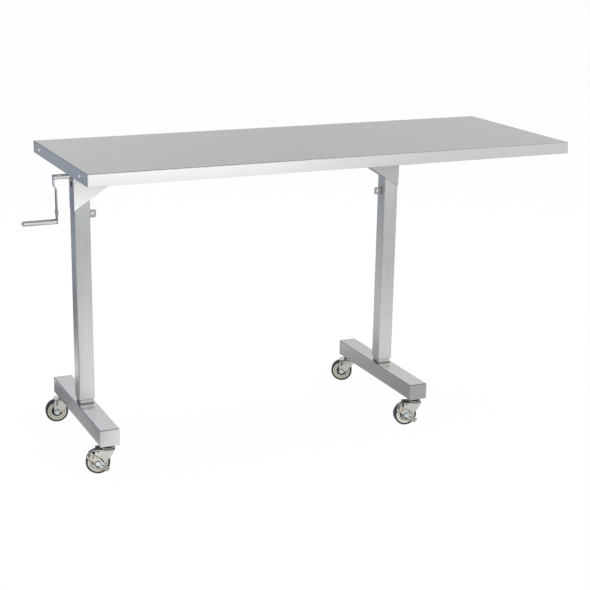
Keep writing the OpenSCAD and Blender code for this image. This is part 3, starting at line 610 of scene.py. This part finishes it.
wear("front_left_brake", "front_right_brake", material=plated)

# %% [markdown]
# ## Plastics and rubber
#
# The wheel core is a beige moulding with a black ring round its hub and a few shallow grooves.
# They could be modelled, but each is a band of radius, so the distance from the axle's line is
# enough to paint them, and the paint stays right when the wheel turns.

# %% Plastics and rubber
def moulded(name, colour, rough, fleck=0.06):
    """Plain moulded plastic or rubber with a faint fleck."""
    recipe = Recipe(name)
    mottle = recipe.noise(160.0, 3.0)
    pale = tuple(min(1.0, part * (1 + fleck)) for part in colour)
    dark = tuple(part * (1 - fleck) for part in colour)
    return surface(recipe, Base_Color=recipe.mix(mottle, dark, pale),
                   Roughness=rough + (mottle - 0.5) * 0.15,
                   Normal=recipe.bump(mottle, 0.04, 0.4, 0.5))


ring_inner = 9.8 * mm
ring_outer = 18.4 * mm
ring_black = (0.012, 0.012, 0.013)
groove_radii = (20.8 * mm, 25.8 * mm, 31.6 * mm)
groove_brown = (0.22, 0.19, 0.15)
core_crevice_shade = (0.10, 0.08, 0.06)


def wheel_core(corner):
    """Beige core with its black ring and moulded grooves, measured from this wheel's axle line."""
    recipe = Recipe("core_" + corner)
    joint = joints[corner + "_roll"]
    along = Vector(joint["axis"]).normalized()
    hub = Vector(joint["pos_m"])
    from_hub = recipe.node("ShaderNodeVectorMath", {"operation": "SUBTRACT"},
                           {0: recipe.place(), 1: tuple(hub)})
    crossed = recipe.node("ShaderNodeVectorMath", {"operation": "CROSS_PRODUCT"},
                          {0: from_hub, 1: tuple(along)})
    radius = recipe.node("ShaderNodeVectorMath", {"operation": "LENGTH"}, {0: crossed}, output="Value")
    ring = radius.above(ring_inner, 0.3 * mm) * (1.0 - radius.above(ring_outer, 0.3 * mm))
    groove = 0.0
    for groove_radius in groove_radii:
        groove = groove + (1.0 - abs(radius - groove_radius).above(0.55 * mm, 0.35 * mm))
    mottle = recipe.noise(140.0, 3.0)
    beige = recipe.mix(mottle, (0.62, 0.59, 0.515), (0.68, 0.648, 0.568))
    lined = recipe.mix((groove * 0.55).clamped(), beige, groove_brown)
    # Painted shade in the core's crevices, mixed in by the crevice mask
    shaded = recipe.mix(recipe.crevice(5.0) * 0.7, lined, core_crevice_shade)
    return surface(recipe, Base_Color=recipe.mix(ring, shaded, ring_black),
                   Roughness=0.42 + (mottle - 0.5) * 0.12 - ring * 0.08,
                   Normal=recipe.bump(mottle * 0.3 - groove * 2.0, 0.08, 0.35, 0.5))


nylon = moulded("natural_nylon", (0.72, 0.70, 0.62), 0.5)
# A near-black for the fillers in slots and holes, which are painted shade
painted_shade_black = moulded("painted_shade_dark", (0.022, 0.017, 0.014), 0.5)
tread = moulded("slate_tread", (0.030, 0.037, 0.046), 0.5, 0.15)
wear("sleeve_liners", "left_post_glides", "right_post_glides", material=nylon)
for corner in corners:
    wear(corner + "_wheel", material=wheel_core(corner))
    wear(corner + "_tyre", material=tread)
print("materials:", len(bpy.data.materials))

# %% [markdown]
# ## Repeats with Geometry Nodes
#
# A weld is a row of small overlapping scales. Placing them by hand or in a Python loop would
# work, but a node tree states the rule once: turn edges into a curve, drop a point every so many
# millimetres, put a scale on each. The same tree then serves every seam, and its sizes are named
# inputs.

# %% Growing helper
class Flow(Recipe):
    """A Geometry Nodes tree under construction, with named inputs for its sizes."""

    def __init__(self, name, **sizes):
        self.tree = bpy.data.node_groups.new(name, "GeometryNodeTree")
        face = self.tree.interface
        face.new_socket("Geometry", in_out="OUTPUT", socket_type="NodeSocketGeometry")
        face.new_socket("Geometry", in_out="INPUT", socket_type="NodeSocketGeometry")
        for label, value in sizes.items():
            kind = {"int": "Int", "float": "Float", "Material": "Material"}[type(value).__name__]
            socket = face.new_socket(label, in_out="INPUT", socket_type="NodeSocket" + kind)
            socket.default_value = value
        entry = self.tree.nodes.new("NodeGroupInput")
        self.start = Wire(self, entry.outputs["Geometry"])
        self.size = {label: Wire(self, entry.outputs[label]) for label in sizes}

    def end(self, geometry, material):
        """Makes real meshes of the instances, sets their material and closes the tree."""
        solid = self.node("GeometryNodeRealizeInstances", {}, {"Geometry": geometry})
        dressed = self.node("GeometryNodeSetMaterial", {}, {"Geometry": solid, "Material": material})
        last = self.tree.nodes.new("NodeGroupOutput")
        self.tree.links.new(dressed.socket, last.inputs["Geometry"])


def grow(flow, paths, name, body, slot, **sizes):
    """Runs a tree over closed or open lines of points and keeps the plain mesh."""
    seed = bpy.data.meshes.new(name + "_path")
    points = []
    edges = []
    for line, closed in paths:
        first = len(points)
        points.extend(tuple(point) for point in line)
        edges.extend((first + number, first + number + 1) for number in range(len(line) - 1))
        if closed:
            edges.append((len(points) - 1, first))
    seed.from_pydata(points, edges, [])
    carrier = bpy.data.objects.new(name + "_carrier", seed)
    bpy.context.collection.objects.link(carrier)
    modifier = carrier.modifiers.new("grow", "NODES")
    modifier.node_group = flow.tree
    for item in flow.tree.interface.items_tree:
        if item.in_out == "INPUT" and item.name in sizes:
            modifier[item.identifier] = sizes[item.name]
    view = bpy.context.evaluated_depsgraph_get()
    mesh = bpy.data.meshes.new_from_object(carrier.evaluated_get(view), depsgraph=view)
    carrier.modifiers.remove(modifier)
    bpy.data.objects.remove(carrier)
    bpy.data.meshes.remove(seed)
    mesh.name = name
    piece = bpy.data.objects.new(name, mesh)
    bpy.context.collection.objects.link(piece)
    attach(piece, body)
    print(name, "rides on", body, "with", len(mesh.polygons), "faces")
    return piece


# %% Weld bead tree
smallest_scale = 0.82
largest_scale = 1.12
bead = Flow("weld_bead", Spacing=1.7 * mm, Radius=1.7 * mm, Seed=3)
seam = bead.node("GeometryNodeMeshToCurve", {}, {"Mesh": bead.start})
steps = bead.node("GeometryNodeResampleCurve", {"mode": "LENGTH"},
                  {"Curve": seam, "Length": bead.size["Spacing"]})
scale_shape = bead.node("GeometryNodeMeshIcoSphere", {}, {"Radius": bead.size["Radius"],
                                                         "Subdivisions": 2})
# Inputs 2 and 3 and output 1 are the node's sockets for plain numbers
jitter = bead.node("FunctionNodeRandomValue", {"data_type": "FLOAT"},
                   {2: smallest_scale, 3: largest_scale, "Seed": bead.size["Seed"]}, output=1)
scales = bead.node("GeometryNodeInstanceOnPoints", {},
                   {"Points": steps, "Instance": scale_shape, "Scale": jitter})
weld_recipe = Recipe("weld_steel")
heat = weld_recipe.noise(260.0, 2.0)
weld_steel = surface(weld_recipe,
                     Base_Color=weld_recipe.mix(heat, (0.33, 0.29, 0.24), (0.55, 0.52, 0.48)),
                     Metallic=1.0, Roughness=0.42 + (heat - 0.5) * 0.2)
bead.end(scales, weld_steel)


# %% [markdown]
# ## Where the welds run
#
# Each post is welded all round to its foot, each sleeve to its head plate, and each lug to its
# sleeve. The seams are lines measured from the boxes of the pieces, so they follow when a size
# changes, which lines drawn by hand would not.

# %% Where the welds run
arc_steps = 5


def square_loop(low, high, z, out, corner):
    """Points round a square tube at height z, pushed out from its faces."""
    middle_x = (low.x + high.x) / 2
    middle_y = (low.y + high.y) / 2
    half = (high.x - low.x) / 2 + out
    line = []
    for quarter in range(4):
        turn = math.radians(quarter * 90 + 45)
        centre_x = middle_x + math.copysign(half - corner, math.cos(turn))
        centre_y = middle_y + math.copysign(half - corner, math.sin(turn))
        for step in range(arc_steps + 1):
            angle = math.radians(quarter * 90 + step * 90 / arc_steps)
            line.append((centre_x + corner * math.cos(angle), centre_y + corner * math.sin(angle), z))
    return line


weld_sink = 0.3 * mm
head_drop = 0.5 * mm
tube_corner = 3.0 * mm
head_seams = []
for side in ("left", "right"):
    post_low, post_high = box_corners(side + "_post")
    sleeve_low, sleeve_high = box_corners(side + "_sleeve")
    base = square_loop(post_low, post_high, foot_top + weld_sink, weld_sink, tube_corner)
    grow(bead, [(base, True)], side + "_base_weld", side + "_leg", "satin_steel", Radius=1.6 * mm)
    head_line = square_loop(sleeve_low, sleeve_high, sleeve_high.z - head_drop, 0.0, tube_corner)
    head_seams.append((head_line, True))

# Each lug is welded to its sleeve along both faces
lugs_low, lugs_high = box_corners("column_lugs")
lug_half = 2.0 * mm
lug_end = 3.0 * mm
for face_x in (box_corners("left_sleeve")[1].x, box_corners("right_sleeve")[0].x):
    for face_y in (-lug_half, lug_half):
        seam_line = [(face_x, face_y, lugs_low.z + lug_end), (face_x, face_y, lugs_high.z - lug_end)]
        head_seams.append((seam_line, False))
grow(bead, head_seams, "frame_welds", "table_top", "satin_steel", Radius=1.4 * mm, Spacing=1.5 * mm)

# %% [markdown]
# ## Screws with a recess
#
# Two domed screws hold each end of the top. A boolean could cut the cross, but it leaves loose
# edges. A ball is easier: its upper half is flattened to a dome, its lower half to a disc, and
# the points inside the cross are pushed down, all by sums on their own coordinates. Each screw
# then looks away from the middle of the top, which the sign of its own X gives.

# %% Dome screws
dome_screw = Flow("dome_screw", Head=12.5 * mm, Dome=4.0 * mm, Slot=1.3 * mm, Reach=5.6 * mm,
                  Depth=1.6 * mm, Finish=screw_steel)
ball = dome_screw.node("GeometryNodeMeshUVSphere", {},
                       {"Segments": 48, "Rings": 28, "Radius": dome_screw.size["Head"] / 2})
at_x, at_y, at_z = dome_screw.split(dome_screw.node("GeometryNodeInputPosition"))
flat = at_z.maths("MAXIMUM", 0.0) * dome_screw.size["Dome"] / (dome_screw.size["Head"] / 2)
narrow = abs(at_x).maths("MINIMUM", abs(at_y))
far = abs(at_x).maths("MAXIMUM", abs(at_y))
cross = (1.0 - narrow.above(dome_screw.size["Slot"] / 2, 0.12 * mm)) * (
    1.0 - far.above(dome_screw.size["Reach"] / 2, 0.25 * mm)) * at_z.above(0.0, 0.1 * mm)
sunk = dome_screw.node("ShaderNodeCombineXYZ", {},
                       {"X": at_x, "Y": at_y, "Z": flat - cross * dome_screw.size["Depth"]})
head = dome_screw.node("GeometryNodeSetPosition", {}, {"Geometry": ball, "Position": sunk})
place_x = dome_screw.split(dome_screw.node("GeometryNodeInputPosition"))[0]
turned = dome_screw.node("ShaderNodeCombineXYZ", {}, {"Y": place_x.maths("SIGN") * (math.pi / 2)})
heads = dome_screw.node("GeometryNodeInstanceOnPoints", {},
                        {"Points": dome_screw.start, "Instance": head, "Rotation": turned})
dome_screw.end(heads, dome_screw.size["Finish"])

screws_low, screws_high = box_corners("end_screws")
head_half = 5.2 * mm
dome = 2.4 * mm
screw_places = []
for x in (screws_low.x + dome, screws_high.x - dome):
    for y in (screws_low.y + head_half, screws_high.y - head_half):
        screw_places.append(([(x, y, (screws_low.z + screws_high.z) / 2)], False))
screws = grow(dome_screw, screw_places, "dome_screws", "table_top", "polished_steel")
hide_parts("end_screws")

# The same tree, flatter, broader and without a cross, gives the dark sealing washers
grow(dome_screw, screw_places, "screw_washers", "table_top", "polished_steel",
     Head=15.4 * mm, Dome=0.9 * mm, Depth=0.0, Finish=oxide_and_shadow)

# %% [markdown]
# ## Corner laps
#
# Where the end apron meets the long apron, a strip of the end is lapped over the corner, and the
# light catches its edge. It is a plate with softened rims, so a bevelled box in mesh code is
# enough, one for each of the four corners.

# %% Corner laps
def soft_plate(mesh, low, high, rim):
    """Adds a box with bevelled edges to a bmesh."""
    made = bmesh.ops.create_cube(mesh, size=1.0)
    for point in made["verts"]:
        for axis in range(3):
            share = point.co[axis] + 0.5
            point.co[axis] = low[axis] + share * (high[axis] - low[axis])
    edges = list({edge for point in made["verts"] for edge in point.link_edges})
    bmesh.ops.bevel(mesh, geom=edges, offset=rim, segments=2, affect="EDGES", profile=0.6)


def finish_piece(mesh, name, body, material, smooth=False):
    """Turns a bmesh into a named piece that rides on a body."""
    bmesh.ops.recalc_face_normals(mesh, faces=mesh.faces)
    data = bpy.data.meshes.new(name)
    mesh.to_mesh(data)
    mesh.free()
    data.materials.append(material)
    for face in data.polygons:
        face.use_smooth = smooth
    piece = bpy.data.objects.new(name, data)
    bpy.context.collection.objects.link(piece)
    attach(piece, body)
    print(name, "rides on", body, "with", len(data.polygons), "faces")


top_low, top_high = box_corners("top_sheet")
lap_w = 15.0 * mm
lap_t = 0.4 * mm
lap_gap = 2.6 * mm
lap_foot = 0.4 * mm
lap_rim = 0.15 * mm
laps = bmesh.new()
for x_in, x_out in ((top_low.x, top_low.x - lap_t), (top_high.x, top_high.x + lap_t)):
    for y_out, inward in ((top_low.y, 1), (top_high.y, -1)):
        y_edge = y_out + inward * lap_gap
        y_far = y_edge + inward * lap_w
        soft_plate(laps, (min(x_in, x_out), min(y_edge, y_far), top_low.z + lap_foot),
                   (max(x_in, x_out), max(y_edge, y_far), top_high.z - lap_gap), lap_rim)
finish_piece(laps, "corner_laps", "table_top", top_steel)

# %% [markdown]
# ## Cam bosses on the brake levers
#
# The lever's pivot hides under a pressed brass boss, a rounded lozenge a few millimetres long.
# Rings of points that follow one curve and draw in towards the top make it. The same rings make
# the small rivet beside it, a dark plate shifted down and left under the boss as its painted
# shadow, and near-black fillers in the lever's slots as painted shade. A sculpted boss would look
# no different at this size.

# %% Cam bosses
def face_frame(place, outward):
    """Maps sideways, up and outward on an upright face to the object's frame."""
    up = Vector((0.0, 0.0, 1.0))
    turn = Matrix((up.cross(outward), up, outward)).transposed().to_4x4()
    return Matrix.Translation(Vector(place)) @ turn


def caster_frame(corner):
    """The face frame at a caster's axle, looking outward."""
    joint = joints[corner + "_roll"]
    outward = Vector(joint["axis"]).normalized()
    if outward.y > 0:
        outward.negate()
    return face_frame(joint["pos_m"], outward)


def boss(mesh, frame_matrix, centre, half, base, height, tilt=0.0, square=3.0, draw_in=0.45):
    """A low rounded boss: superellipse rings that draw in towards the top."""
    sides = 36
    rings = 7
    turn = Matrix.Rotation(tilt, 4, "Z")
    last = None
    for ring in range(rings + 1):
        rise = math.sin(ring / rings * math.pi / 2)
        draw = 1.0 - draw_in * (1.0 - math.cos(ring / rings * math.pi / 2))
        row = []
        for number in range(sides):
            angle = 2 * math.pi * number / sides
            u = math.copysign(abs(math.cos(angle)) ** (2 / square), math.cos(angle))
            v = math.copysign(abs(math.sin(angle)) ** (2 / square), math.sin(angle))
            flat_place = turn @ Vector((u * half[0] * draw, v * half[1] * draw, 0.0))
            point = flat_place + Vector((centre[0], centre[1], base + height * rise))
            row.append(mesh.verts.new(frame_matrix @ point))
        if last:
            for number in range(sides):
                after = (number + 1) % sides
                mesh.faces.new((last[number], last[after], row[after], row[number]))
        else:
            mesh.faces.new(list(reversed(row)))
        last = row
    mesh.faces.new(last)


def boss_piece(name, body, material, frame_matrix, bosses):
    """One named piece made of bosses, each given by its sizes."""
    mesh = bmesh.new()
    for sizes in bosses:
        boss(mesh, frame_matrix, **sizes)
    finish_piece(mesh, name, body, material, smooth=True)


fork_gap = 33.0 * mm
fork_t = 2.5 * mm
lever_gap = 0.3 * mm
lever_t = 2.0 * mm
boss_sink = 0.3 * mm
fork_face = fork_gap / 2 + fork_t
lever_base = fork_face + lever_gap + lever_t - boss_sink
cam_x = -19.5 * mm
cam_y = 24.5 * mm
cam_tilt = math.radians(-32)
shadow_shift = 0.8 * mm
cam = dict(centre=(cam_x, cam_y), half=(8.0 * mm, 4.4 * mm), tilt=cam_tilt, base=lever_base, height=2.4 * mm)
# A dark plate under the boss, shifted down and left: the boss's painted shadow
cam_shadow = dict(centre=(cam_x - shadow_shift, cam_y - shadow_shift), half=(10.0 * mm, 6.2 * mm),
                  tilt=cam_tilt, base=lever_base, height=1.0 * mm, square=4.0)
lever_rivet = dict(centre=(-5.0 * mm, 19.5 * mm), half=(1.9 * mm, 1.9 * mm), base=lever_base,
                   height=1.3 * mm, square=2.0)
# Place, half sizes and tilt of the three slots, filled near-black as painted shade
slot_sizes = [((0.0, -12.6 * mm), (5.0 * mm, 1.9 * mm), 0.0),
              ((-13.6 * mm, -0.5 * mm), (1.9 * mm, 2.2 * mm), 0.0),
              ((14.5 * mm, -7.0 * mm), (3.0 * mm, 1.8 * mm), -0.55)]
slot_rise = 0.4 * mm
lever_slot_shades = [dict(centre=centre, half=half, tilt=tilt, base=lever_base, height=boss_sink + slot_rise,
                    square=12.0, draw_in=0.1) for centre, half, tilt in slot_sizes]
lever_parts = [("_cam_border", oxide_and_shadow, [cam_shadow]), ("_lever_spring", painted_shade_black, lever_slot_shades),
               ("_cam_boss", cam_brass, [cam]), ("_lever_rivet", polished, [lever_rivet])]
for corner in ("front_left", "front_right"):
    for ending, material, bosses in lever_parts:
        boss_piece(corner + ending, corner + "_lever", material,
                   caster_frame(corner), bosses)

# %% [markdown]
# ## Bolt washers
#
# A plated washer lies under each front axle bolt, flush with the brake lever. It is a short round
# plate, so one more boss with nearly upright sides is enough, where a lathe would need a profile.

# %% Bolt washers
washer_r = 8.2 * mm
washer_t = 2.0 * mm
bolt_washer = dict(centre=(0.0, 0.0), half=(washer_r, washer_r), base=fork_face - boss_sink,
                   height=boss_sink + washer_t, square=2.0, draw_in=0.06)
for corner in ("front_left", "front_right"):
    boss_piece(corner + "_bolt_washer", corner + "_caster", zinc,
               caster_frame(corner), [bolt_washer])

# %% [markdown]
# ## Painted shade in holes and a slot
#
# The holes in the forks and the slot high in the left column look black, because what lies behind
# them is in shadow. A hole that shows bright metal behind it reads as a mistake, so each gets
# painted shade: a near-black low boss from the same rings. These sit below the face of the fork,
# and the one on the slot barely stands out of the column.

# %% Painted shade in holes
# Across, up and radius of the holes, from the axle
rear_holes = [(1.0 * mm, 35.0 * mm, 3.1 * mm), (0.7 * mm, 26.8 * mm, 3.1 * mm)]
front_holes = [(0.4 * mm, 38.5 * mm, 2.6 * mm)]
hole_shade_base = fork_gap / 2 + 0.7 * mm
hole_shade_t = 1.2 * mm
for corner in corners:
    holes = front_holes if corner.startswith("front") else rear_holes
    hole_shades = [dict(centre=(across, up), half=(radius, radius), base=hole_shade_base, height=hole_shade_t, square=2.0)
             for across, up, radius in holes]
    boss_piece(corner + "_fork_plugs", corner + "_caster", painted_shade_black,
               caster_frame(corner), hole_shades)

# The painted shade on the slot sits this far below the crank shaft
slot_shade_drop = 26.0 * mm
shaft_low, shaft_high = box_corners("crank_shaft")
slot_shade_z = (shaft_low.z + shaft_high.z) / 2 - slot_shade_drop
slot_shade_place = (box_corners("left_sleeve")[0].x, 0.0, slot_shade_z)
painted_slot_shade = dict(centre=(0.0, 0.0), half=(9.0 * mm, 9.5 * mm), base=-0.3 * mm, height=0.9 * mm, square=2.6,
             draw_in=0.12)
boss_piece("column_painted_shade", "table_top", painted_shade_black,
           face_frame(slot_shade_place, Vector((-1, 0, 0))), [painted_slot_shade])
